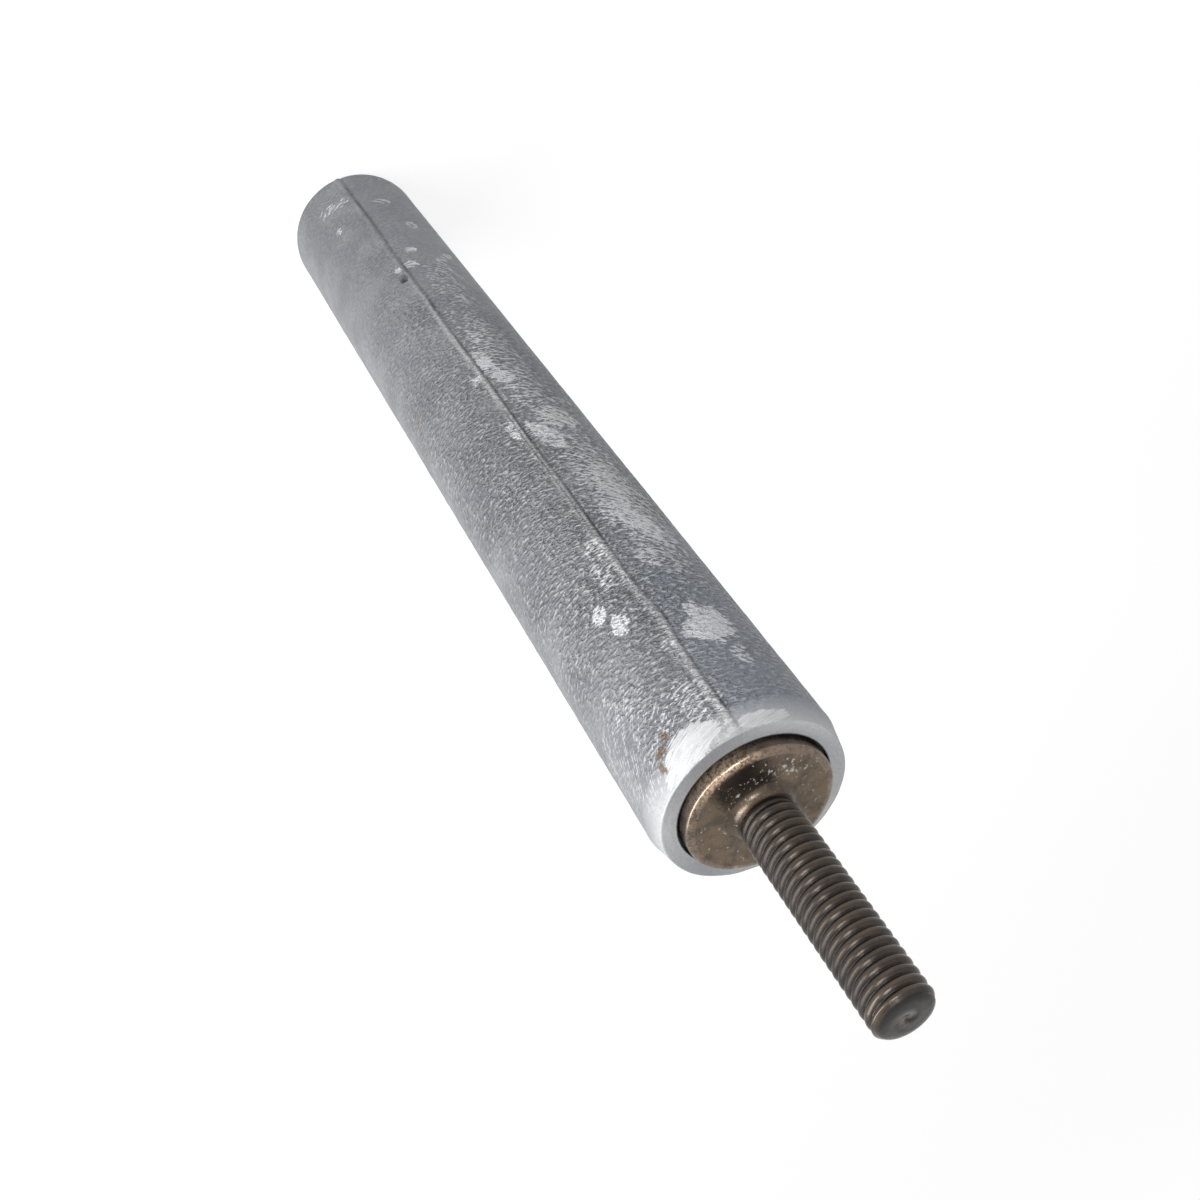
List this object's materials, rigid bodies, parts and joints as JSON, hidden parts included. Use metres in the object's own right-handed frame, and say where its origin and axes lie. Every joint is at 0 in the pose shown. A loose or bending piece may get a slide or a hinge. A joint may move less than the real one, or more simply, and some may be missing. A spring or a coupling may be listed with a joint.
{
  "type": "water heater anode rod",
  "caption": "Short sacrificial magnesium anode rod with a cast-in steel stud, upset collar and threaded end, for a storage water heater.",
  "frame": {"origin": "middle of the plain end face, on which the rod stands", "axes": "+Z along the rod's axis towards the tip of the threaded stud, +X through one of the two parting ridges"},
  "size_m": [0.0202, 0.0198, 0.1603],
  "materials": {
    "cast_magnesium": "matte",
    "stud_steel": "satin"
  },
  "bodies": {
    "root": {"magnesium_body": "cast_magnesium", "steel_stud": "stud_steel"}
  },
  "joints": []
}
